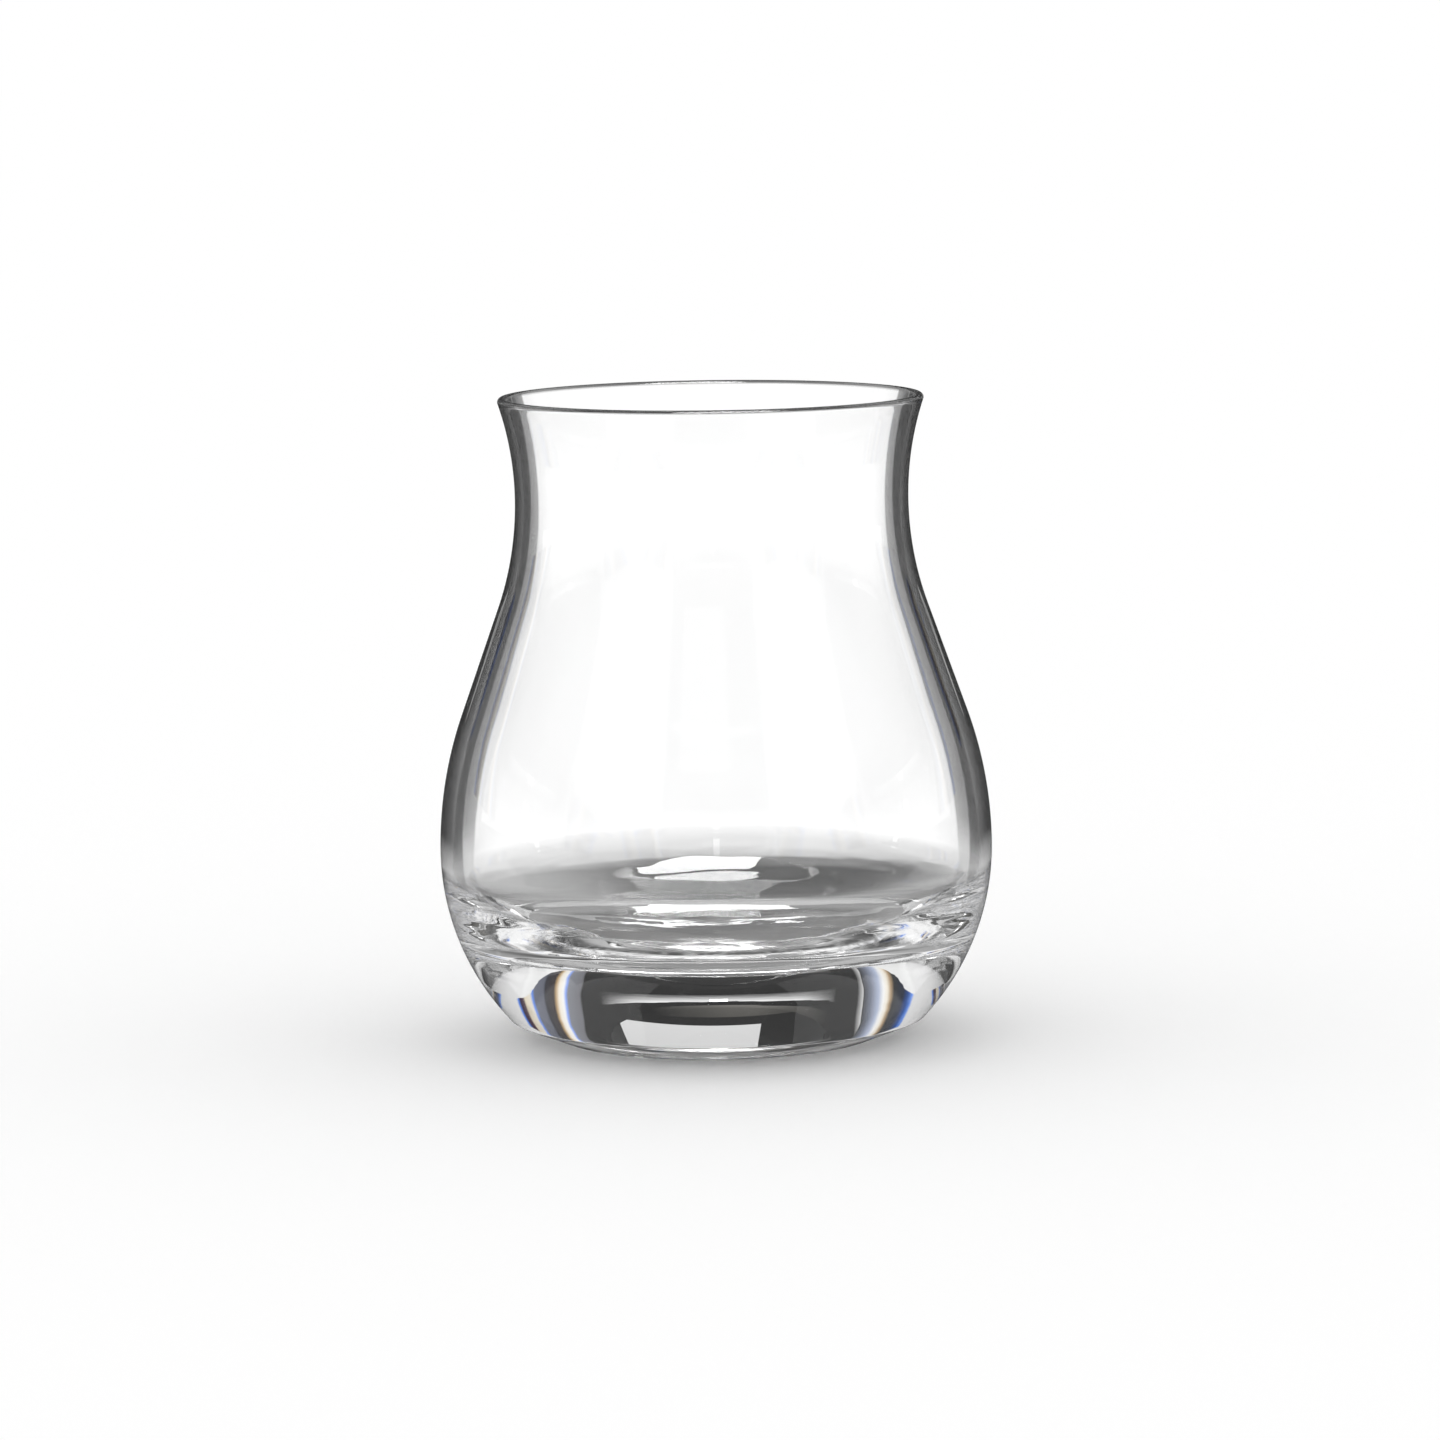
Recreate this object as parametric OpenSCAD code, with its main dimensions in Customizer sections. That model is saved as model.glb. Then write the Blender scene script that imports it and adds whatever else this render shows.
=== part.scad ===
// Whisky tumbler of clear glass: a flared lip, a drawn-in waist, a round belly and a heavy base.
// Millimetres, +Z up. The tumbler stands on z = 0 with its axis on Z.
// Every zone is a slice of one half outline turned about the axis.

/* [Outside] */
// Height from the table to the top of the rim
height = 100; // [94:1:112]
// Outside diameter of the rim
rim_d = 66; // [63:0.5:71]
// Outside diameter of the waist, the narrowest place below the rim
waist_d = 61; // [56:0.5:63]
// Height of the waist above the table
waist_h = 84; // [78:1:88]
// Outside diameter of the belly, the widest place
belly_d = 86; // [82:1:92]
// Height of the belly's widest line above the table
belly_h = 29.5; // [27:0.5:33]
// Share of the side that curves out from the waist
waist_sweep = 0.4; // [0.3:0.01:0.47]
// Share of the side that rounds over into the belly
belly_sweep = 0.5; // [0.4:0.01:0.52]

/* [Underside] */
// Diameter of the heel, the corner between the round side and the underside
heel_d = 65; // [60:1:68]
// Height of the heel above the table
heel_h = 3; // [1:0.25:4]
// Radius that takes the edge off the heel
heel_round = 0.6; // [0.4:0.1:2]
// Outside diameter of the bearing ring that stands on the table
foot_d = 50; // [44:1:54]
// Diameter of the hollow inside the bearing ring
punt_d = 38; // [24:1:42]
// Depth of that hollow at the middle
punt_depth = 1.2; // [0.5:0.1:3]

/* [Inside] */
// Thickness of the lip and of the wall at the waist
lip_t = 1.3; // [1:0.1:2]
// Thickness of the wall at the belly
belly_t = 2; // [1.6:0.1:3]
// Height of the middle of the floor above the table
floor_h = 14.5; // [10:0.5:20]
// Radius of the dish that the floor is hollowed to
floor_dish = 300; // [120:10:400]
// Radius of the round corner between the floor and the wall
floor_corner = 12; // [10:0.5:18]

/* [Zones] */
// Height of the rim zone, measured down from the top
rim_band = 12; // [5:0.5:14]
// Place of the line between bowl and waist, as a share of the way up from the belly to the waist
waist_share = 0.52; // [0.4:0.01:0.6]
// Height of the seam between bowl and base above the middle of the floor
seam_rise = 4; // [3:0.5:7]

/* [Hidden] */
$fn = 180;
GLASS = [0.86, 0.92, 0.93, 0.55];
// Furthest that a curve's chords stray from the true curve
chord_gap = 0.02;

// Heights where the zones meet
seam_h = floor_h + seam_rise;
turn_h = belly_h + waist_share * (waist_h - belly_h);
rim_h = height - rim_band;

// Hollow under the base: part of a ball
punt_ball = ((punt_d / 2) ^ 2 + punt_depth ^ 2) / (2 * punt_depth);
punt_centre = [0, punt_depth - punt_ball];
punt_turn = asin(punt_d / 2 / punt_ball);

// Round side below the belly: an arc that is upright at the belly and passes through the heel
side_drop = belly_h - heel_h;
side_in = belly_d / 2 - heel_d / 2;
side_arc = (side_drop ^ 2 + side_in ^ 2) / (2 * side_in);
side_centre = [belly_d / 2 - side_arc, belly_h];

// Heel: a small arc that touches the underside's slope and the round side
slope = atan2(heel_h, heel_d / 2 - foot_d / 2);
slope_along = [cos(slope), sin(slope)];
slope_up = [-sin(slope), cos(slope)];
slope_start = [foot_d / 2, 0] + heel_round * slope_up - side_centre;
slope_back = slope_start * slope_along;
slope_run = sqrt(slope_back ^ 2 - slope_start * slope_start + (side_arc - heel_round) ^ 2) - slope_back;
heel_centre = side_centre + slope_start + slope_run * slope_along;
heel_out = heel_centre - side_centre;
heel_turn = atan2(heel_out[1], heel_out[0]);

// Lip: one arc up the middle of the wall, ending in a round edge as thick as the wall
lip_rise = height - lip_t / 2 - waist_h;
lip_flare = rim_d / 2 - waist_d / 2;
lip_arc = (lip_rise ^ 2 + lip_flare ^ 2) / (2 * lip_flare);
lip_centre = [waist_d / 2 - lip_t / 2 + lip_arc, waist_h];
lip_turn = 180 - asin(lip_rise / lip_arc);
lip_edge = on_arc(lip_centre, lip_arc, lip_turn);

// Floor: a shallow dish that runs into a round corner, and the corner into the upright wall
wall_r = belly_d / 2 - belly_t;
dish_centre = [0, floor_h + floor_dish];
corner_r = wall_r - floor_corner;
corner_h = dish_centre[1] - sqrt((floor_dish - floor_corner) ^ 2 - corner_r ^ 2);
corner_centre = [corner_r, corner_h];
corner_turn = atan2(corner_h - dish_centre[1], corner_r);

// Point on an arc at an angle from the +X direction
function on_arc(centre, radius, angle) = centre + radius * [cos(angle), sin(angle)];

// Points along an arc after its first one, close enough together to look round
function bend(centre, radius, first, last) =
    let (steps = max(2, ceil(abs(last - first) / (2 * acos(1 - chord_gap / radius)))))
    [for (k = [1:steps]) on_arc(centre, radius, first + (last - first) * k / steps)];

// Side from a wide place up to a narrow one, after its first point: a curve, a straight run and
// the opposite curve. The curves take their shares of the longest pair that could touch.
function swept_side(wide_r, wide_h, narrow_r, narrow_h) =
    let (
        growth = wide_r - narrow_r,
        rise = narrow_h - wide_h,
        longest = (growth ^ 2 + rise ^ 2) / (2 * growth),
        upper = waist_sweep * longest,
        lower = belly_sweep * longest,
        upper_centre = [narrow_r + upper, narrow_h],
        lower_centre = [wide_r - lower, wide_h],
        apart = upper_centre - lower_centre,
        lean = atan2(apart[1], apart[0]) - acos((upper + lower) / norm(apart))
    )
    concat(
        bend(lower_centre, lower, 0, lean),
        [on_arc(upper_centre, upper, 180 + lean)],
        bend(upper_centre, upper, 180 + lean, 180)
    );

// Points of a run taken the other way round
function reversed(points) = [for (k = [len(points) - 1:-1:0]) points[k]];

// Outside, from the middle of the hollow under the base round to the lip's edge
outside = concat(
    [[0, punt_depth]],
    bend(punt_centre, punt_ball, 90, 90 - punt_turn),
    [[foot_d / 2, 0], on_arc(heel_centre, heel_round, slope - 90)],
    bend(heel_centre, heel_round, slope - 90, heel_turn),
    bend(side_centre, side_arc, heel_turn, 0),
    swept_side(belly_d / 2, belly_h, waist_d / 2, waist_h),
    bend(lip_centre, lip_arc - lip_t / 2, 180, lip_turn),
    bend(lip_edge, lip_t / 2, lip_turn - 180, lip_turn)
);

// Inside, from the middle of the floor up to the waist and on to the lip's edge
inside = concat(
    [[0, floor_h]],
    bend(dish_centre, floor_dish, -90, corner_turn),
    bend(corner_centre, floor_corner, corner_turn, 0),
    swept_side(wall_r, corner_h, waist_d / 2 - lip_t, waist_h),
    bend(lip_centre, lip_arc + lip_t / 2, 180, lip_turn)
);

// Glass between two heights: that slice of the half outline, turned about the axis
module zone(low, high) {
    rotate_extrude()
        intersection() {
            polygon(concat(outside, reversed([for (k = [0:len(inside) - 2]) inside[k]])));
            translate([0, low])
                square([belly_d, high - low]);
        }
}

// Flared drinking lip with its fire-rounded edge
module rim() {
    color(GLASS)
        zone(rim_h, height + 1);
}

// Drawn-in wall that the fingers close round
module waist() {
    color(GLASS)
        zone(turn_h, rim_h);
}

// Round wall: the thick shoulder over the floor and the belly
module bowl() {
    color(GLASS)
        zone(seam_h, turn_h);
}

// Heavy bottom with the dished floor and the bearing ring
module base() {
    color(GLASS)
        zone(-1, seam_h);
}

rim();
waist();
bowl();
base();
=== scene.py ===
"""Clear glass whisky tumbler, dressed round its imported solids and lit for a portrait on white."""

import logging
import math
from dataclasses import dataclass
from enum import Enum

import bpy
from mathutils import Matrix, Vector, noise


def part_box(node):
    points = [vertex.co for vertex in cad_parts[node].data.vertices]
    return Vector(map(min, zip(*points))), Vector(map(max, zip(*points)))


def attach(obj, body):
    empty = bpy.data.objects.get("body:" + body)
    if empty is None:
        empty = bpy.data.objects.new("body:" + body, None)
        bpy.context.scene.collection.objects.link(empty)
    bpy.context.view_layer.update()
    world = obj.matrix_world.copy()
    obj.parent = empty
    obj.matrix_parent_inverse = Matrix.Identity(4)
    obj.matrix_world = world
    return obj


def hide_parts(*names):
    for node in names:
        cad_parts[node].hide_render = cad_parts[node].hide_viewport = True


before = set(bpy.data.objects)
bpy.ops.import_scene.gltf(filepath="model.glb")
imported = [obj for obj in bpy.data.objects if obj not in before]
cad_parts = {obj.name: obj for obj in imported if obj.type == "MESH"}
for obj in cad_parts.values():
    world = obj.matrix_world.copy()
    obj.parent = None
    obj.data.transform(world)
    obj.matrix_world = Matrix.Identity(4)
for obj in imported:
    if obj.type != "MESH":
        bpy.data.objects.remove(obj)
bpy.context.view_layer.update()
MM = 0.001
QUARTER = math.pi / 2
LOG = logging.getLogger("tumbler")
Point = tuple[float, float]
Ring = tuple[float, float, float]
Colour = tuple[float, float, float]
Stop = tuple[float, float, Colour]
WHITE: Colour = (1.0, 1.0, 1.0)

# Longest step along the outline, furthest that a chord strays from its arc, and fewest steps of an arc
PITCH = 1.0 * MM
CHORD_GAP = 0.0015 * MM
LEAST_STEPS = 4

# Height of the middle of the ball that the studio's panels lie on
BALL_H = 30 * MM

# Light caught in the wall is mirrored many times before it leaves
LIGHT_BOUNCES = 400


class Zone(Enum):
    """Zones of the glass from the table up, named as the solids are."""

    BASE = "base"
    BOWL = "bowl"
    WAIST = "waist"
    RIM = "rim"


class GlassSlot(Enum):
    """Places of the finishes on each piece of glass."""

    POLISHED = 0
    SEAM = 1
    WORN = 2


class SeenBy(Enum):
    """Sight lines that a sheet of the studio shows in."""

    THROUGH = "through the glass"
    MIRRORED = "mirrored in its surface"
    BOTH = "through the glass and mirrored in its surface"


class Side(Enum):
    """Sides of the studio, as bearings in degrees clockwise from behind the glass."""

    BACK = 0
    RIGHT = 90
    FRONT = 180
    LEFT = 270


def on_arc(centre: Point, radius: float, angle: float) -> Point:
    """Point on an arc of the half outline, at an angle in radians from the outward direction."""
    return centre[0] + radius * math.cos(angle), centre[1] + radius * math.sin(angle)


def bend(centre: Point, radius: float, first: float, last: float, pitch: float = PITCH) -> list[Point]:
    """Points along an arc after its first one, close enough together to look round.

    Args:
        centre: Arc's centre as radius and height.
        radius: Arc's radius.
        first: Angle where the arc starts.
        last: Angle where it ends.
        pitch: Longest step along the arc.

    Returns:
        The points in order, the last one included.
    """
    sweep = abs(last - first)
    for_chord = math.ceil(sweep / (2 * math.acos(1 - CHORD_GAP / radius)))
    steps = max(LEAST_STEPS, for_chord, math.ceil(sweep * radius / pitch))
    return [on_arc(centre, radius, first + (last - first) * k / steps) for k in range(1, steps + 1)]


def straight(start: Point, end: Point) -> list[Point]:
    """Points along a straight run after its first one.

    Args:
        start: Radius and height where the run starts.
        end: Radius and height where it ends.

    Returns:
        The points in order, the last one included.
    """
    steps = max(1, math.ceil(math.dist(start, end) / PITCH))
    return [
        (start[0] + (end[0] - start[0]) * k / steps, start[1] + (end[1] - start[1]) * k / steps)
        for k in range(1, steps + 1)
    ]


def ramp_between(value: float, low: float, high: float) -> float:
    """Share of the way from one value to another, held between nought and one."""
    return min(1.0, max(0.0, (value - low) / (high - low)))


@dataclass(frozen=True)
class TumblerOutline:
    """Half outline of the glass, from the same arcs as the solids."""

    height: float
    rim_r: float
    belly_r: float
    waist_r: float = 30.5 * MM
    waist_h: float = 84 * MM
    belly_h: float = 29.5 * MM
    waist_sweep: float = 0.4
    belly_sweep: float = 0.5
    heel_r: float = 32.5 * MM
    heel_h: float = 3 * MM
    heel_round: float = 0.6 * MM
    foot_r: float = 25 * MM
    punt_r: float = 19 * MM
    punt_depth: float = 1.2 * MM
    lip_t: float = 1.3 * MM
    belly_t: float = 2 * MM
    floor_h: float = 14.5 * MM
    floor_dish: float = 300 * MM
    floor_corner: float = 12 * MM
    floor_pitch: float = 0.5 * MM

    @classmethod
    def from_frame(cls) -> "TumblerOutline":
        """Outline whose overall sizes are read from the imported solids."""
        rim_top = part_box(Zone.RIM.value)[1]
        return cls(height=rim_top.z, rim_r=rim_top.x, belly_r=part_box(Zone.BOWL.value)[1].x)

    def swept_side(self, wide: Point, narrow: Point) -> list[Point]:
        """Side from a wide place up to a narrow one: a curve, a straight run and the opposite curve.

        Args:
            wide: Radius and height of the wide place.
            narrow: Radius and height of the narrow place.

        Returns:
            The side's points after the wide place.
        """
        growth, rise = wide[0] - narrow[0], narrow[1] - wide[1]
        longest = (growth**2 + rise**2) / (2 * growth)
        upper, lower = self.waist_sweep * longest, self.belly_sweep * longest
        upper_centre = (narrow[0] + upper, narrow[1])
        lower_centre = (wide[0] - lower, wide[1])
        across, up = upper_centre[0] - lower_centre[0], upper_centre[1] - lower_centre[1]
        lean = math.atan2(up, across) - math.acos((upper + lower) / math.hypot(across, up))
        return (
            bend(lower_centre, lower, 0.0, lean)
            + straight(on_arc(lower_centre, lower, lean), on_arc(upper_centre, upper, math.pi + lean))
            + bend(upper_centre, upper, math.pi + lean, math.pi)
        )

    def lip(self) -> tuple[Point, float, float]:
        """Arc up the middle of the lip's wall.

        Returns:
            The arc's centre, radius and end angle.
        """
        rise = self.height - self.lip_t / 2 - self.waist_h
        flare = self.rim_r - self.waist_r
        radius = (rise**2 + flare**2) / (2 * flare)
        centre = (self.waist_r - self.lip_t / 2 + radius, self.waist_h)
        return centre, radius, math.pi - math.asin(rise / radius)

    def underside(self) -> list[Point]:
        """Bottom of the glass and its round side.

        Returns:
            Points from the middle of the hollow under the base out to the belly.
        """
        ball = (self.punt_r**2 + self.punt_depth**2) / (2 * self.punt_depth)
        hollow_end = QUARTER - math.asin(self.punt_r / ball)
        hollow = bend((0.0, self.punt_depth - ball), ball, QUARTER, hollow_end)
        drop, inset = self.belly_h - self.heel_h, self.belly_r - self.heel_r
        side = (drop**2 + inset**2) / (2 * inset)
        side_centre = Vector((self.belly_r - side, self.belly_h))
        slope = math.atan2(self.heel_h, self.heel_r - self.foot_r)
        along = Vector((math.cos(slope), math.sin(slope)))
        upward = Vector((-math.sin(slope), math.cos(slope)))
        start = Vector((self.foot_r, 0.0)) + self.heel_round * upward - side_centre
        back = start.dot(along)
        run = math.sqrt(back**2 - start.dot(start) + (side - self.heel_round) ** 2) - back
        heel = side_centre + start + run * along
        turn = math.atan2(heel.y - side_centre.y, heel.x - side_centre.x)
        slope_end = on_arc(tuple(heel), self.heel_round, slope - QUARTER)
        return (
            [(0.0, self.punt_depth)]
            + hollow
            + straight((self.punt_r, 0.0), (self.foot_r, 0.0))
            + straight((self.foot_r, 0.0), slope_end)
            + bend(tuple(heel), self.heel_round, slope - QUARTER, turn)
            + bend(tuple(side_centre), side, turn, 0.0)
        )

    def outside(self) -> list[Point]:
        """Outer face of the glass.

        Returns:
            Points from the middle of the hollow under the base up to the lip's edge and over it.
        """
        centre, radius, turn = self.lip()
        edge = on_arc(centre, radius, turn)
        return (
            self.underside()
            + self.swept_side((self.belly_r, self.belly_h), (self.waist_r, self.waist_h))
            + bend(centre, radius - self.lip_t / 2, math.pi, turn)
            + bend(edge, self.lip_t / 2, turn - math.pi, turn)
        )

    def inside(self) -> list[Point]:
        """Inner face of the glass.

        Returns:
            Points from the middle of the floor up to the lip's edge.
        """
        centre, radius, turn = self.lip()
        wall = self.belly_r - self.belly_t
        dish = (0.0, self.floor_h + self.floor_dish)
        corner_r = wall - self.floor_corner
        corner_h = dish[1] - math.sqrt((self.floor_dish - self.floor_corner) ** 2 - corner_r**2)
        corner_turn = math.atan2(corner_h - dish[1], corner_r)
        return (
            [(0.0, self.floor_h)]
            + bend(dish, self.floor_dish, -QUARTER, corner_turn, self.floor_pitch)
            + bend((corner_r, corner_h), self.floor_corner, corner_turn, 0.0, self.floor_pitch)
            + self.swept_side((wall, corner_h), (self.waist_r - self.lip_t, self.waist_h))
            + bend(centre, radius + self.lip_t / 2, math.pi, turn)[:-1]
        )

    def rings(self, cuts: list[float]) -> list[Point]:
        """Whole outline, from the hollow under the base over the lip and down to the middle of the floor.

        Args:
            cuts: Heights where the zones meet, each of which gets a ring of its own.

        Returns:
            Radius and height of each ring.
        """
        plain = self.outside() + self.inside()[::-1]
        made = [plain[0]]
        for start, end in zip(plain, plain[1:]):
            for cut in cuts:
                if min(start[1], end[1]) < cut < max(start[1], end[1]):
                    share = (cut - start[1]) / (end[1] - start[1])
                    made.append((start[0] + (end[0] - start[0]) * share, cut))
            made.append(end)
        return made


@dataclass(frozen=True)
class FloorWaves:
    """Low waves left in the hot glass by the tool that pressed the floor and its corner."""

    rise: float = 0.045 * MM
    across: float = 2.4 * MM
    turns: float = 2.2
    calm: float = 0.08
    calm_r: float = 33 * MM
    full_r: float = 38 * MM
    upward_from: float = 0.05
    upward_full: float = 0.5
    swing_waves: float = 4
    roughening: float = 0.7
    finer: float = 2.0
    layers: int = 3

    def shift(self, spot: Vector, normal: Vector, top: float) -> float:
        """Distance to move a point of the glass along its normal.

        Args:
            spot: Place of the point.
            normal: The glass's outward normal there.
            top: Height where the waves have died out.

        Returns:
            The distance, nought outside the floor and its corner.
        """
        if spot.z > top or normal.z < self.upward_from:
            return 0.0
        radius = math.hypot(spot.x, spot.y)
        angle = math.atan2(spot.y, spot.x)
        swing = self.turns * min(1.0, radius / (self.swing_waves * self.across))
        sample = Vector((swing * math.cos(angle), swing * math.sin(angle), (radius + spot.z) / self.across))
        weight = ramp_between(normal.z, self.upward_from, self.upward_full)
        weight *= self.calm + (1 - self.calm) * ramp_between(radius, self.calm_r, self.full_r)
        return self.rise * weight * noise.fractal(sample, self.roughening, self.finer, self.layers)


@dataclass(frozen=True)
class SurfaceMarks:
    """Low waves and fine haze that glass picks up in making and in use, shared by the glass finishes."""

    name: str = "surface_marks"
    wave_scale: float = 60.0
    wave_detail: float = 1.0
    haze_scale: float = 300.0
    haze_detail: float = 4.0
    haze_spread: Point = (0.45, 0.75)
    haze_low: float = 0.0
    haze_high: float = 0.01

    def group(self) -> bpy.types.NodeTree:
        """Node group with the marks.

        Returns:
            The group, made on the first call.
        """
        group = bpy.data.node_groups.get(self.name)
        if group:
            return group
        group = bpy.data.node_groups.new(self.name, "ShaderNodeTree")
        usual = {
            "Wave Scale": self.wave_scale,
            "Haze Scale": self.haze_scale,
            "Haze Low": self.haze_low,
            "Haze High": self.haze_high,
        }
        for name, value in usual.items():
            socket = group.interface.new_socket(name, in_out="INPUT", socket_type="NodeSocketFloat")
            socket.default_value = value
        for name in ("Roughness", "Height"):
            group.interface.new_socket(name, in_out="OUTPUT", socket_type="NodeSocketFloat")
        nodes, links = group.nodes, group.links
        given, put = nodes.new("NodeGroupInput"), nodes.new("NodeGroupOutput")
        place = nodes.new("ShaderNodeTexCoord")
        waves, haze = nodes.new("ShaderNodeTexNoise"), nodes.new("ShaderNodeTexNoise")
        waves.inputs["Detail"].default_value = self.wave_detail
        haze.inputs["Detail"].default_value = self.haze_detail
        for texture, scale in ((waves, "Wave Scale"), (haze, "Haze Scale")):
            links.new(place.outputs["Object"], texture.inputs["Vector"])
            links.new(given.outputs[scale], texture.inputs["Scale"])
        spread = nodes.new("ShaderNodeMapRange")
        spread.inputs["From Min"].default_value = self.haze_spread[0]
        spread.inputs["From Max"].default_value = self.haze_spread[1]
        links.new(haze.outputs["Fac"], spread.inputs["Value"])
        links.new(given.outputs["Haze Low"], spread.inputs["To Min"])
        links.new(given.outputs["Haze High"], spread.inputs["To Max"])
        links.new(spread.outputs["Result"], put.inputs["Roughness"])
        links.new(waves.outputs["Fac"], put.inputs["Height"])
        return group


@dataclass(frozen=True)
class GlassFinish:
    """Colourless glass with low waves and a fine haze on its surface."""

    name: str
    tint: Colour = (0.995, 0.996, 0.996)
    ior: float = 1.5
    wave_scale: float = 60.0
    wave_depth: float = 0.02 * MM
    haze_scale: float = 300.0
    haze: Point = (0.0, 0.01)

    def material(self) -> bpy.types.Material:
        """Builds the node material.

        Returns:
            The material.
        """
        made = bpy.data.materials.new(self.name)
        made.use_nodes = True
        nodes, links = made.node_tree.nodes, made.node_tree.links
        shader = nodes["Principled BSDF"]
        shader.inputs["Base Color"].default_value = (*self.tint, 1.0)
        shader.inputs["Transmission Weight"].default_value = 1.0
        shader.inputs["IOR"].default_value = self.ior
        marks = nodes.new("ShaderNodeGroup")
        marks.node_tree = SurfaceMarks().group()
        marks.inputs["Wave Scale"].default_value = self.wave_scale
        marks.inputs["Haze Scale"].default_value = self.haze_scale
        marks.inputs["Haze Low"].default_value = self.haze[0]
        marks.inputs["Haze High"].default_value = self.haze[1]
        bump = nodes.new("ShaderNodeBump")
        bump.inputs["Distance"].default_value = self.wave_depth
        links.new(marks.outputs["Height"], bump.inputs["Height"])
        links.new(bump.outputs["Normal"], shader.inputs["Normal"])
        links.new(marks.outputs["Roughness"], shader.inputs["Roughness"])
        return made


@dataclass(frozen=True)
class PolishedGlassWithPaintedShade(GlassFinish):
    """Fire-polished glass, with painted shade in its colour where it is seen nearly edge on and a painted
    dark line along its lip.
    """

    name: str = "polished_glass"
    # Painted shade: colour of the glass by how nearly edge on it is seen, from face on to edge on
    painted_edge_tones: tuple[Point, ...] = (
        (0.0, 1.0),
        (0.45, 1.0),
        (0.52, 0.92),
        (0.6, 0.85),
        (0.615, 0.14),
        (0.655, 0.085),
        (0.72, 0.02),
        (0.8, 0.0064),
        (1.0, 0.0009),
    )
    # The painted edge shade is at its least below the first height and full above the second
    least_below: float = 23 * MM
    full_above: float = 33 * MM
    least: float = 0.25
    # Painted dark line along the lip, fading in between these two heights
    lip_from: float = 99.3 * MM
    lip_full: float = 99.65 * MM
    painted_lip_tone: float = 0.05

    def material(self) -> bpy.types.Material:
        """Builds the node material with its painted shade at the edges and along the lip.

        Returns:
            The material.
        """
        made = super().material()
        nodes, links = made.node_tree.nodes, made.node_tree.links
        # Painted shade: darker as the glass is seen more nearly edge on
        facing = nodes.new("ShaderNodeLayerWeight")
        facing.inputs["Blend"].default_value = 0.5
        tones = nodes.new("ShaderNodeValToRGB")
        steps = tones.color_ramp.elements
        while len(steps) < len(self.painted_edge_tones):
            steps.new(1.0)
        for step, (place, tone) in zip(steps, self.painted_edge_tones):
            step.position = place
            step.color = (*(tone * part for part in self.tint), 1.0)
        links.new(facing.outputs["Facing"], tones.inputs["Fac"])
        place = nodes.new("ShaderNodeTexCoord")
        split = nodes.new("ShaderNodeSeparateXYZ")
        links.new(place.outputs["Object"], split.inputs["Vector"])
        wall = nodes.new("ShaderNodeMapRange")
        wall.interpolation_type = "SMOOTHSTEP"
        wall.inputs["From Min"].default_value = self.least_below
        wall.inputs["From Max"].default_value = self.full_above
        wall.inputs["To Min"].default_value = self.least
        lip = nodes.new("ShaderNodeMapRange")
        lip.inputs["From Min"].default_value = self.lip_from
        lip.inputs["From Max"].default_value = self.lip_full
        for reading in (wall, lip):
            links.new(split.outputs["Z"], reading.inputs["Value"])
        # Mix in the painted edge shade by height, then the painted dark line at the lip
        edged, lipped = nodes.new("ShaderNodeMix"), nodes.new("ShaderNodeMix")
        for mix, amount in ((edged, wall), (lipped, lip)):
            mix.data_type = "RGBA"
            links.new(amount.outputs["Result"], mix.inputs["Factor"])
        edged.inputs["A"].default_value = (*self.tint, 1.0)
        links.new(tones.outputs["Color"], edged.inputs["B"])
        links.new(edged.outputs["Result"], lipped.inputs["A"])
        lipped.inputs["B"].default_value = (self.painted_lip_tone, self.painted_lip_tone, self.painted_lip_tone, 1.0)
        links.new(lipped.outputs["Result"], nodes["Principled BSDF"].inputs["Base Color"])
        return made


@dataclass(frozen=True)
class WornRing(GlassFinish):
    """Bearing ring, dulled and scratched by the table."""

    name: str = "worn_ring"
    wave_scale: float = 900.0
    wave_depth: float = 0.004 * MM
    haze_scale: float = 700.0
    haze: Point = (0.05, 0.3)


@dataclass(frozen=True)
class FusedSeam:
    """Place inside the glass where two zones are one: light goes straight through it."""

    name: str = "fused_seam"

    def material(self) -> bpy.types.Material:
        """Builds the node material.

        Returns:
            The material.
        """
        made = bpy.data.materials.new(self.name)
        made.use_nodes = True
        shader = made.node_tree.nodes["Principled BSDF"]
        shader.inputs["Base Color"].default_value = (*WHITE, 1.0)
        shader.inputs["Alpha"].default_value = 0.0
        return made


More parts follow.
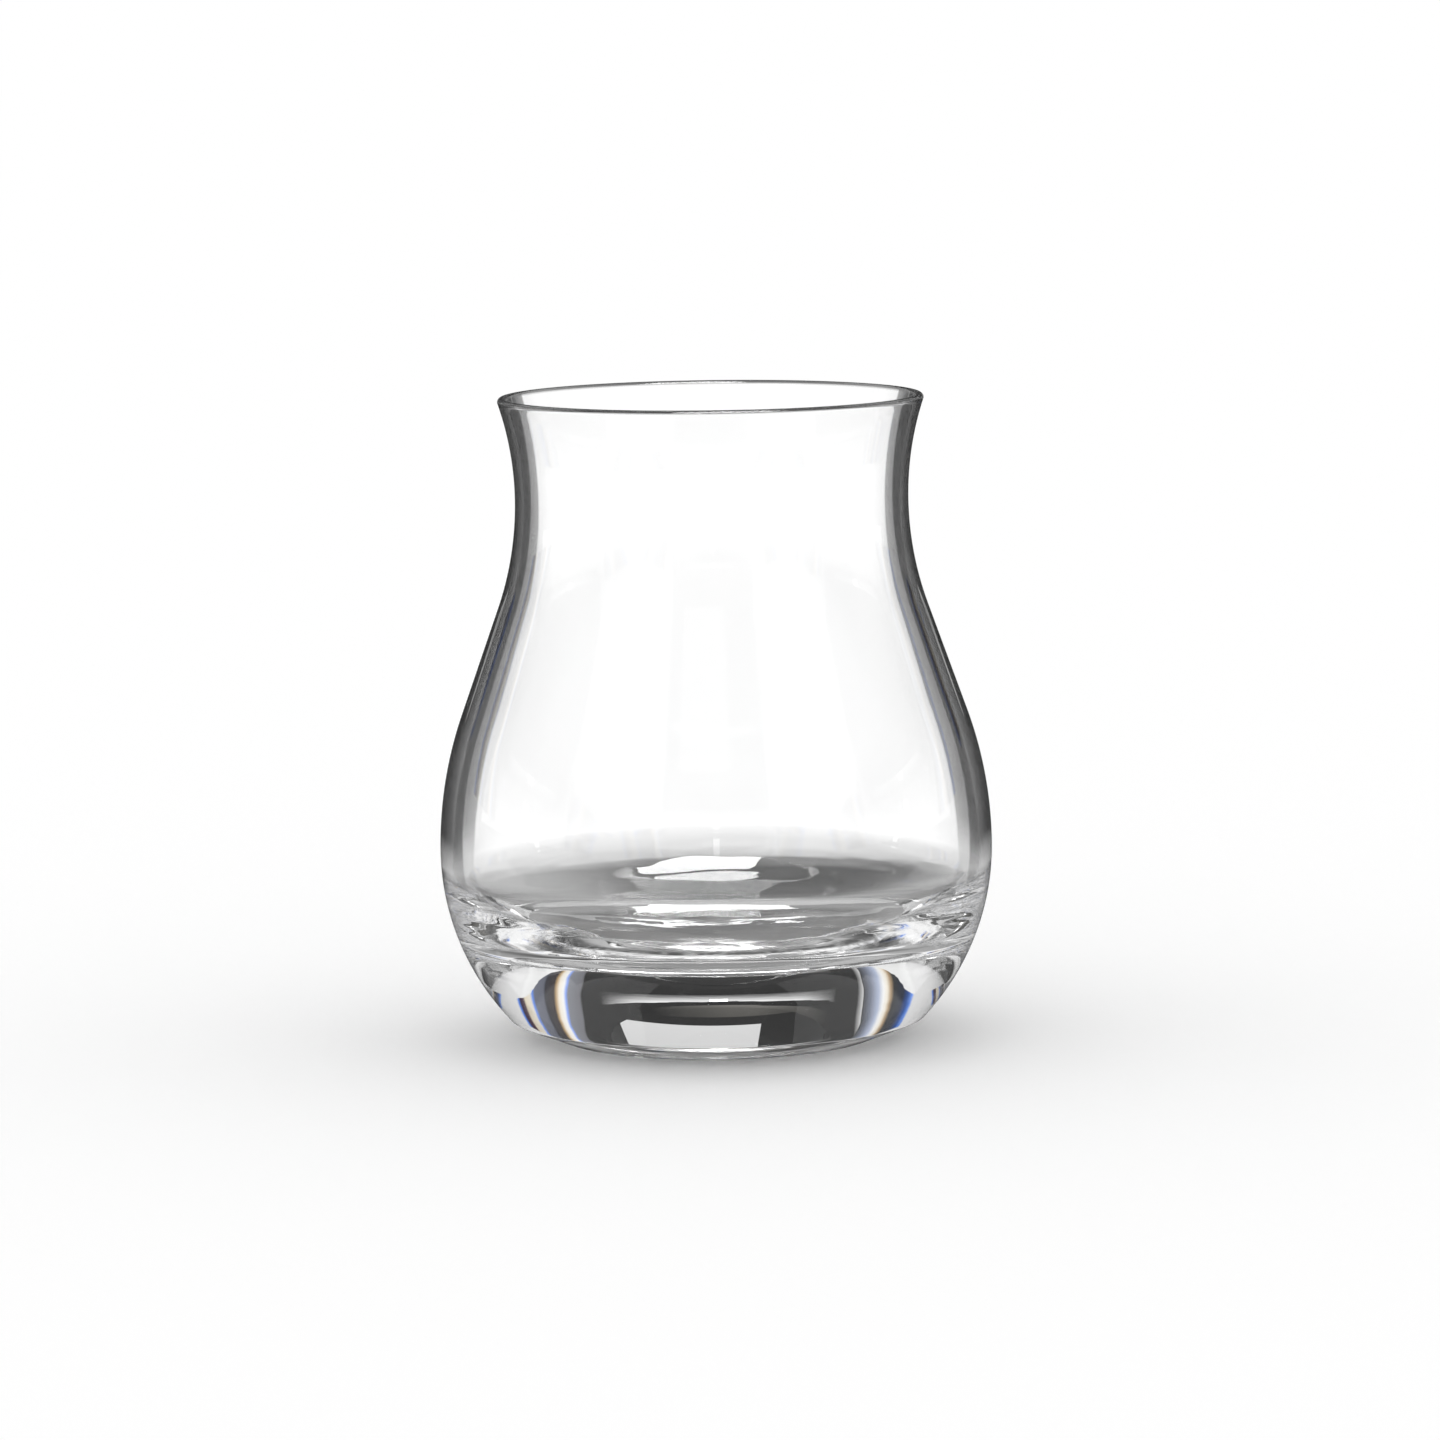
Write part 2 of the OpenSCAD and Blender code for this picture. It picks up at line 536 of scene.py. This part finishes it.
@dataclass(frozen=True)
class Tumbler:
    """The tumbler: one continuous skin of glass, divided into closed zones as the solids are."""

    outline: TumblerOutline
    waves: FloorWaves = FloorWaves()
    segments: int = 280
    flat_below: float = 0.02 * MM

    def cuts(self) -> list[float]:
        """Heights where the zones meet, from the lowest up."""
        return [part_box(zone.value)[0].z for zone in (Zone.BOWL, Zone.WAIST, Zone.RIM)]

    def corners(self, rings: list[Point]) -> list[list[int]]:
        """Numbers the points of the skin.

        Args:
            rings: Radius and height of each ring.

        Returns:
            The numbers on each ring, a single one where the ring lies on the axis.
        """
        made, first = [], 0
        for radius, _ in rings:
            count = self.segments if radius > 0 else 1
            made.append(list(range(first, first + count)))
            first += count
        return made

    def band(self, low: list[int], high: list[int]) -> list[list[int]]:
        """Faces between two rings.

        Args:
            low: Point numbers of the first ring.
            high: Point numbers of the second one.

        Returns:
            The point numbers of each face.
        """
        faces = []
        for k in range(self.segments):
            j = (k + 1) % self.segments
            face = [low[k % len(low)], low[j % len(low)], high[j % len(high)], high[k % len(high)]]
            faces.append(list(dict.fromkeys(face)))
        return faces

    def skin(self, rings: list[Point], corners: list[list[int]]) -> bpy.types.Mesh:
        """Turns the outline about the axis and presses the waves into the floor.

        Args:
            rings: Radius and height of each ring.
            corners: Point numbers of each ring.

        Returns:
            The whole skin as one closed mesh.
        """
        spots: list[Vector] = []
        for (radius, height), ring in zip(rings, corners):
            turns = [2 * math.pi * k / len(ring) for k in range(len(ring))]
            spots += [Vector((radius * math.cos(turn), radius * math.sin(turn), height)) for turn in turns]
        faces = [face for low, high in zip(corners, corners[1:]) for face in self.band(low, high)]
        mesh = bpy.data.meshes.new("tumbler_skin")
        mesh.from_pydata(spots, [], faces)
        mesh.polygons.foreach_set("use_smooth", [True] * len(faces))
        mesh.update()
        normals = [vertex.normal.copy() for vertex in mesh.vertices]
        for vertex, normal in zip(mesh.vertices, normals):
            vertex.co += normal * self.waves.shift(vertex.co, normal, self.outline.belly_h)
        mesh.update()
        return mesh

    def zone_piece(
        self, zone: Zone, skin: bpy.types.Mesh, faces: list[list[int]], seams: list[list[int]]
    ) -> bpy.types.Object:
        """Cuts one zone out of the skin and closes it, with the skin's own normals so that no seam shows.

        Args:
            zone: Zone to cut out.
            skin: The whole skin.
            faces: Point numbers of the zone's faces.
            seams: Point numbers of the faces that close it.

        Returns:
            The zone's glass, in the place of its solid.
        """
        kept = sorted({corner for face in faces + seams for corner in face})
        place = {old: new for new, old in enumerate(kept)}
        mesh = bpy.data.meshes.new(f"{zone.value}_glass")
        spots = [skin.vertices[old].co for old in kept]
        mesh.from_pydata(spots, [], [[place[corner] for corner in face] for face in faces + seams])
        mesh.polygons.foreach_set("use_smooth", [True] * len(faces) + [False] * len(seams))
        slots = [GlassSlot.POLISHED.value] * len(faces) + [GlassSlot.SEAM.value] * len(seams)
        mesh.polygons.foreach_set("material_index", slots)
        normals = [skin.vertices[corner].normal for face in faces for corner in face]
        for face in mesh.polygons[len(faces):]:
            normals += [face.normal] * len(face.vertices)
        mesh.normals_split_custom_set(normals)
        piece = bpy.data.objects.new(mesh.name, mesh)
        bpy.context.scene.collection.objects.link(piece)
        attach(piece, "root")
        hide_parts(zone.value)
        return piece

    def build(self) -> list[bpy.types.Object]:
        """Makes the glass of every zone.

        Returns:
            The pieces from the base up.
        """
        cuts = self.cuts()
        rings = self.outline.rings(cuts)
        corners = self.corners(rings)
        skin = self.skin(rings, corners)
        walls: list[list[list[int]]] = [[] for _ in Zone]
        for k in range(len(rings) - 1):
            middle = (rings[k][1] + rings[k + 1][1]) / 2
            walls[sum(middle > cut for cut in cuts)] += self.band(corners[k], corners[k + 1])
        seams: list[list[list[int]]] = [[] for _ in Zone]
        for number, cut in enumerate(cuts):
            outer, inner = [ring for ring, (_, height) in zip(corners, rings) if height == cut]
            upward = self.band(outer, inner)
            seams[number] += upward
            seams[number + 1] += [face[::-1] for face in upward]
        pieces = [self.zone_piece(*parts) for parts in zip(Zone, [skin] * len(Zone), walls, seams)]
        bpy.data.meshes.remove(skin)
        return pieces

    def dress(self, pieces: list[bpy.types.Object]) -> None:
        """Gives every zone its polished glass, which carries painted edge shade, and the bearing ring its
        wear.

        Args:
            pieces: The zones' pieces from the base up.
        """
        finishes = [PolishedGlassWithPaintedShade().material(), FusedSeam().material()]
        for piece in pieces:
            for finish in finishes:
                piece.data.materials.append(finish)
        base = pieces[0].data
        base.materials.append(WornRing().material())
        for face in base.polygons:
            if face.center.z < self.flat_below and math.hypot(*face.center.xy) > self.outline.punt_r:
                face.material_index = GlassSlot.WORN.value


def lit_sheet(
    name: str, rows: list[list[Vector]], glow: list[list[Colour]], seen_by: SeenBy
) -> bpy.types.Object:
    """Lit sheet of the studio that stays out of the picture itself.

    Args:
        name: Sheet's name.
        rows: Points of the sheet, row by row.
        glow: Light that leaves each point.
        seen_by: Sight lines that the sheet shows in.

    Returns:
        The sheet.
    """
    width = len(rows[0])
    corners = [j * width + i for j in range(len(rows) - 1) for i in range(width - 1)]
    mesh = bpy.data.meshes.new(name)
    faces = [[k, k + 1, k + width + 1, k + width] for k in corners]
    mesh.from_pydata([spot for row in rows for spot in row], [], faces)
    values = [part for row in glow for colour in row for part in (*colour, 1.0)]
    mesh.attributes.new("glow", "FLOAT_COLOR", "POINT").data.foreach_set("color", values)
    made = bpy.data.objects.new(name, mesh)
    bpy.context.scene.collection.objects.link(made)
    made.visible_camera = False
    made.visible_diffuse = False
    made.visible_shadow = False
    made.visible_glossy = seen_by is not SeenBy.THROUGH
    made.visible_transmission = seen_by is not SeenBy.MIRRORED
    return made


def on_ball(bearing: float, rise: float, reach: float) -> Vector:
    """Place on a ball round the glass.

    Args:
        bearing: Degrees clockwise from behind the glass.
        rise: Degrees up from the table.
        reach: The ball's radius.

    Returns:
        The place.
    """
    turn, lift = math.radians(bearing), math.radians(rise)
    flat = reach * math.cos(lift)
    return Vector((flat * math.sin(turn), flat * math.cos(turn), BALL_H + reach * math.sin(lift)))


@dataclass(frozen=True)
class Panel:
    """Lamp, softbox or black flag: part of a ball round the glass, placed in degrees."""

    name: str
    bearing: Point
    rise: Point
    level: Point
    seen_by: SeenBy = SeenBy.THROUGH
    reach: float = 3.2
    foot_fade: float = 0.0
    side_fade: float = 0.0
    fade_to: float = 1.0
    tone: Colour = WHITE
    least_rows: int = 2
    least_columns: int = 4
    column_width: float = 2

    def fade(self, bearing: float, rise: float) -> float:
        """How far a place on the panel has faded out.

        Args:
            bearing: Place's bearing.
            rise: Place's rise.

        Returns:
            Nought where the panel is whole, one at its faded edge.
        """
        foot = 1 - (rise - self.rise[0]) / self.foot_fade if self.foot_fade else 0.0
        inset = min(bearing - self.bearing[0], self.bearing[1] - bearing)
        side = 1 - inset / self.side_fade if self.side_fade else 0.0
        return max(0.0, foot, side)

    def build(self) -> bpy.types.Object:
        """Makes the panel, its brightness running from its foot to its head.

        Returns:
            The panel.
        """
        (left_end, right_end), (foot, head) = self.bearing, self.rise
        tall = max(self.least_rows, math.ceil(head - foot))
        wide = max(self.least_columns, math.ceil((right_end - left_end) / self.column_width))
        bearings = [left_end + (right_end - left_end) * i / wide for i in range(wide + 1)]
        rows, glow = [], []
        for j in range(tall + 1):
            rise = foot + (head - foot) * j / tall
            level = self.level[0] + (self.level[1] - self.level[0]) * j / tall
            rows.append([on_ball(bearing, rise, self.reach) for bearing in bearings])
            row = []
            for bearing in bearings:
                kept = 1 - self.fade(bearing, rise)
                row.append(tuple(self.fade_to + (level * part - self.fade_to) * kept for part in self.tone))
            glow.append(row)
        return lit_sheet(self.name, rows, glow, self.seen_by)


@dataclass(frozen=True)
class Fringe:
    """Strip at a flag's end, painted with the colours that thick glass would spread an edge of light into.
    """

    name: str
    turn: float
    hand: int
    stops: tuple[Stop, ...]
    foot: float = 1.0
    bend_h: float = 9.0
    lean: float = 0.45
    steps: int = 24
    reach: float = 3.15

    def build(self) -> bpy.types.Object:
        """Makes the strip, its stops leaning in towards the flag below the bend.

        Returns:
            The strip.
        """
        rows, glow = [], []
        for j in range(self.steps + 1):
            row = []
            for place, top, _ in self.stops:
                rise = self.foot + (top - self.foot) * j / self.steps
                lean = self.lean * max(0.0, self.bend_h - rise)
                row.append(on_ball(self.turn + self.hand * (place - lean), rise, self.reach))
            rows.append(row)
            glow.append([tone for _, _, tone in self.stops])
        return lit_sheet(self.name, rows, glow, SeenBy.THROUGH)


@dataclass(frozen=True)
class TableSheet:
    """Round sheet on the table, as rings of radius, level in a lobe and level between lobes."""

    name: str
    rings: tuple[Ring, ...]
    height: float
    seen_by: SeenBy = SeenBy.THROUGH
    lobes: int = 4
    lobe_core: float = math.radians(9)
    lobe_edge: float = math.radians(28)
    lobe_turn: float = math.radians(-6)
    segments: int = 144

    def between(self, turn: float) -> float:
        """How far a direction lies out of the nearest lobe.

        Args:
            turn: Direction in radians.

        Returns:
            Nought in the core of a lobe, one between two lobes.
        """
        share = 2 * math.pi / self.lobes
        off = abs((turn - self.lobe_turn + share / 2) % share - share / 2)
        step = ramp_between(off, self.lobe_core, self.lobe_edge)
        return step * step * (3 - 2 * step)

    def build(self) -> bpy.types.Object:
        """Makes the sheet.

        Returns:
            The sheet.
        """
        turns = [2 * math.pi * k / self.segments for k in range(self.segments + 1)]
        rows, glow = [], []
        for radius, core, side in self.rings:
            rows.append([Vector((radius * math.cos(t), radius * math.sin(t), self.height)) for t in turns])
            glow.append([(core + (side - core) * self.between(t),) * 3 for t in turns])
        return lit_sheet(self.name, rows, glow, self.seen_by)


@dataclass(frozen=True)
class SheetLight:
    """Even light whose brightness is written on each sheet's mesh."""

    name: str = "sheet_light"

    def material(self) -> bpy.types.Material:
        """Builds the node material.

        Returns:
            The material.
        """
        made = bpy.data.materials.new(self.name)
        made.use_nodes = True
        nodes, links = made.node_tree.nodes, made.node_tree.links
        nodes.remove(nodes["Principled BSDF"])
        written = nodes.new("ShaderNodeAttribute")
        written.attribute_name = "glow"
        light = nodes.new("ShaderNodeEmission")
        links.new(written.outputs["Color"], light.inputs["Color"])
        links.new(light.outputs["Emission"], nodes["Material Output"].inputs["Surface"])
        return made


@dataclass(frozen=True)
class MattWhite:
    """Matt white of the table."""

    name: str = "matt_white"
    colour: Colour = WHITE

    def material(self) -> bpy.types.Material:
        """Builds the node material.

        Returns:
            The material.
        """
        made = bpy.data.materials.new(self.name)
        made.use_nodes = True
        shader = made.node_tree.nodes["Principled BSDF"]
        shader.inputs["Base Color"].default_value = (*self.colour, 1.0)
        shader.inputs["Roughness"].default_value = 1.0
        shader.inputs["Specular IOR Level"].default_value = 0.0
        return made


@dataclass(frozen=True)
class Studio:
    """White table and surround, with the flags, lamps and softboxes that draw the glass."""

    table_half: float = 6.0
    table_h: float = -0.1 * MM
    shade_h: float = -0.03 * MM
    mirror_h: float = -0.06 * MM
    flag_half: float = 25.0
    # Painted colour fringes, seen only through the glass, standing in for the colours that thick glass
    # spreads an edge of light into
    wide_spread: tuple[Stop, ...] = (
        (22.3, 11.5, (0.06, 0.06, 0.06)),
        (22.7, 11.5, (0.2, 0.2, 0.22)),
        (25.3, 11.5, (0.26, 0.27, 0.3)),
        (25.8, 11.5, (0.3, 0.45, 1.0)),
        (26.4, 11.5, (1.0, 1.0, 1.0)),
        (27.4, 11.5, (1.0, 0.93, 0.8)),
        (28.2, 11.5, (0.55, 0.38, 0.2)),
        (28.8, 11.5, (0.06, 0.05, 0.05)),
        (31.2, 11.0, (0.05, 0.05, 0.06)),
        (31.8, 10.5, (0.16, 0.17, 0.21)),
        (34.6, 9.2, (0.2, 0.21, 0.26)),
        (35.4, 9.0, (0.2, 0.38, 1.0)),
        (36.2, 8.8, (0.95, 0.9, 0.8)),
        (38.4, 8.4, (0.9, 0.8, 0.62)),
        (39.2, 8.2, (0.1, 0.05, 0.07)),
        (40.8, 8.0, (0.07, 0.05, 0.1)),
        (41.6, 7.8, (0.1, 0.3, 1.0)),
        (42.6, 7.6, (1.0, 1.0, 1.0)),
    )
    narrow_spread: tuple[Stop, ...] = (
        (24.3, 11.5, (0.06, 0.06, 0.06)),
        (26.0, 11.5, (0.2, 0.22, 0.28)),
        (28.0, 11.5, (0.5, 0.56, 0.72)),
        (29.2, 11.5, (1.0, 1.0, 1.0)),
        (30.2, 11.0, (1.0, 0.93, 0.8)),
        (31.2, 10.5, (0.5, 0.36, 0.22)),
        (32.2, 10.0, (0.05, 0.05, 0.05)),
        (35.5, 9.0, (0.04, 0.05, 0.08)),
        (37.5, 8.6, (0.05, 0.12, 0.4)),
        (39.0, 8.3, (0.15, 0.35, 1.0)),
        (40.0, 8.0, (1.0, 1.0, 1.0)),
    )
    # Painted shadow of the glass on the table, seen only through the glass: dark under and round it, darker
    # in four lobes, and brighter than the white table from 0.25 m out
    shade: tuple[Ring, ...] = (
        (0.002, 0.3, 0.3),
        (0.026, 0.3, 0.3),
        (0.031, 0.5, 0.5),
        (0.044, 0.5, 0.5),
        (0.056, 0.16, 0.4),
        (0.08, 0.08, 0.42),
        (0.1, 0.08, 0.45),
        (0.113, 0.26, 0.66),
        (0.12, 0.6, 0.78),
        (0.145, 0.8, 0.92),
        (0.25, 1.12, 1.12),
        (6.0, 1.12, 1.12),
    )
    # Painted reflection of the table: a dark sheet that the glass mirrors in place of the white table
    mirror: tuple[Ring, ...] = ((0.002, 0.045, 0.045), (6.0, 0.045, 0.045))

    def table_sheets(self) -> list[TableSheet]:
        """The painted shadow under and round the glass, and the dark sheet that the glass mirrors in place
        of the table.
        """
        return [
            TableSheet("glass_shade", self.shade, self.shade_h),
            TableSheet("table_mirror", self.mirror, self.mirror_h, SeenBy.MIRRORED),
        ]

    def fringes(self, side: Side) -> list[Fringe]:
        """Spread colours at both ends of one side's flag."""
        name, turn = side.name.lower(), side.value
        return [
            Fringe(f"{name}_wide_fringe", turn, 1, self.wide_spread),
            Fringe(f"{name}_narrow_fringe", turn, -1, self.narrow_spread),
        ]

    def side_panels(self, side: Side) -> list[Panel]:
        """Black flag of one side and its surround, with the lamp, the slot and the windows in them.

        Args:
            side: Side of the studio.

        Returns:
            The panels.
        """
        name, turn = side.name.lower(), side.value
        # The flag behind the glass in the photograph's view is darker and sharper than the other three
        sharp = side is Side.BACK
        return [
            Panel(
                name=f"{name}_flag",
                bearing=(turn - self.flag_half, turn + self.flag_half),
                rise=(1 if sharp else -1, 30),
                level=(0.03, 0.03) if sharp else (0.12, 0.12),
                seen_by=SeenBy.BOTH,
                foot_fade=1 if sharp else 14,
                side_fade=0.4,
            ),
            Panel(
                name=f"{name}_surround",
                bearing=(turn - 30, turn + 30),
                rise=(30, 50),
                level=(0.18, 0.3),
                seen_by=SeenBy.BOTH,
                reach=3.3,
            ),
            Panel(
                name=f"{name}_lamp",
                bearing=(turn - 7, turn + 17),
                rise=(22, 29),
                level=(0.75, 0.7),
                reach=3.1,
            ),
            Panel(
                name=f"{name}_glow",
                bearing=(turn - 18, turn + 10),
                rise=(13.5, 20),
                level=(0.2, 0.1),
                reach=3.1,
                side_fade=12,
                fade_to=0.03,
                tone=(1.0, 0.97, 0.9),
            ),
            Panel(
                name=f"{name}_slot",
                bearing=(turn - 18.5, turn + 18.5),
                rise=(8.4, 11),
                level=(0.1, 1.0),
                reach=3.1,
                side_fade=6.5,
                fade_to=0.05,
            ),
            Panel(
                name=f"{name}_low_window",
                bearing=(turn - 1.4, turn + 1.2),
                rise=(0.5, 6.3),
                level=(4.0, 4.0),
                reach=3.0,
            ),
            Panel(
                name=f"{name}_high_window",
                bearing=(turn - 1.4, turn + 1.2),
                rise=(9.8, 11),
                level=(4.0, 4.0),
                reach=3.0,
            ),
        ]

    def overhead(self) -> list[Panel]:
        """Ceiling, softboxes over the glass, and a painted dark horizon that shows only mirrored in it."""
        return [
            Panel(
                name="ceiling",
                bearing=(0, 360),
                rise=(50, 90),
                level=(0.45, 0.45),
                seen_by=SeenBy.BOTH,
                reach=3.4,
            ),
            Panel(
                name="front_softbox",
                bearing=(126, 206),
                rise=(48, 65),
                level=(22.0, 22.0),
                seen_by=SeenBy.MIRRORED,
            ),
            Panel(
                name="upper_softbox",
                bearing=(100, 225),
                rise=(71, 86),
                level=(18.0, 18.0),
                seen_by=SeenBy.MIRRORED,
            ),
            # Painted reflection: a dark band round the horizon that shows only mirrored in the glass
            Panel(
                name="mirror_horizon",
                bearing=(0, 360),
                rise=(-2, 28),
                level=(0.045, 0.3),
                seen_by=SeenBy.MIRRORED,
                reach=3.3,
            ),
        ]

    def build(self) -> list[bpy.types.Object]:
        """Sets up the table, the white surround and the lit sheets.

        Returns:
            The table and the sheets.
        """
        half = self.table_half
        corners = [(-half, -half), (half, -half), (half, half), (-half, half)]
        mesh = bpy.data.meshes.new("table")
        mesh.from_pydata([(x, y, self.table_h) for x, y in corners], [], [[0, 1, 2, 3]])
        mesh.materials.append(MattWhite().material())
        table = bpy.data.objects.new("table", mesh)
        bpy.context.scene.collection.objects.link(table)
        table.visible_glossy = False
        light = SheetLight().material()
        parts: list[Panel | Fringe | TableSheet] = [*self.table_sheets(), *self.overhead()]
        for side in Side:
            parts += [*self.side_panels(side), *self.fringes(side)]
        sheets = [part.build() for part in parts]
        for sheet in sheets:
            sheet.data.materials.append(light)
        world = bpy.data.worlds.new("white_surround")
        bpy.context.scene.world = world
        world.use_nodes = True
        background = world.node_tree.nodes["Background"]
        background.inputs["Color"].default_value = (*WHITE, 1.0)
        background.inputs["Strength"].default_value = 1.0
        return [table, *sheets]


@dataclass(frozen=True)
class Viewpoint:
    """Camera that stands where the photograph was taken."""

    distance: float = 1.0
    height: float = 172.2 * MM
    aim_h: float = 49.26 * MM
    aim_x: float = 0.85 * MM
    lens: float = 161.75
    sensor: float = 36.0
    clip: Point = (0.05, 60.0)
    roll: float = math.radians(-0.75)

    def build(self) -> bpy.types.Object:
        """Makes the camera and hands it to the scene.

        Returns:
            The camera.
        """
        data = bpy.data.cameras.new("photo_camera")
        data.lens = self.lens
        data.sensor_width = self.sensor
        data.clip_start, data.clip_end = self.clip
        camera = bpy.data.objects.new("photo_camera", data)
        bpy.context.scene.collection.objects.link(camera)
        camera.location = (self.aim_x, -self.distance, self.height)
        look = Vector((self.aim_x, 0.0, self.aim_h)) - camera.location
        camera.rotation_euler = look.to_track_quat("-Z", "Y").to_euler()
        camera.rotation_euler.rotate_axis("Z", self.roll)
        bpy.context.scene.camera = camera
        return camera


def main() -> None:
    """Builds the tumbler, the studio and the camera."""
    logging.basicConfig(level=logging.INFO, format="%(message)s")
    tumbler = Tumbler(TumblerOutline.from_frame())
    pieces = tumbler.build()
    tumbler.dress(pieces)
    for piece in pieces:
        LOG.info("%s: %d faces", piece.name, len(piece.data.polygons))
    LOG.info("studio: %d sheets and the table", len(Studio().build()) - 1)
    LOG.info("camera: %s", Viewpoint().build().name)
    scene = bpy.context.scene
    scene.view_settings.view_transform = "Standard"
    scene.cycles.max_bounces = LIGHT_BOUNCES
    scene.cycles.transmission_bounces = LIGHT_BOUNCES
    scene.cycles.glossy_bounces = LIGHT_BOUNCES
    scene.cycles.transparent_max_bounces = LIGHT_BOUNCES
    scene.cycles.sample_clamp_indirect = 0.0


if __name__ == "__main__":
    main()
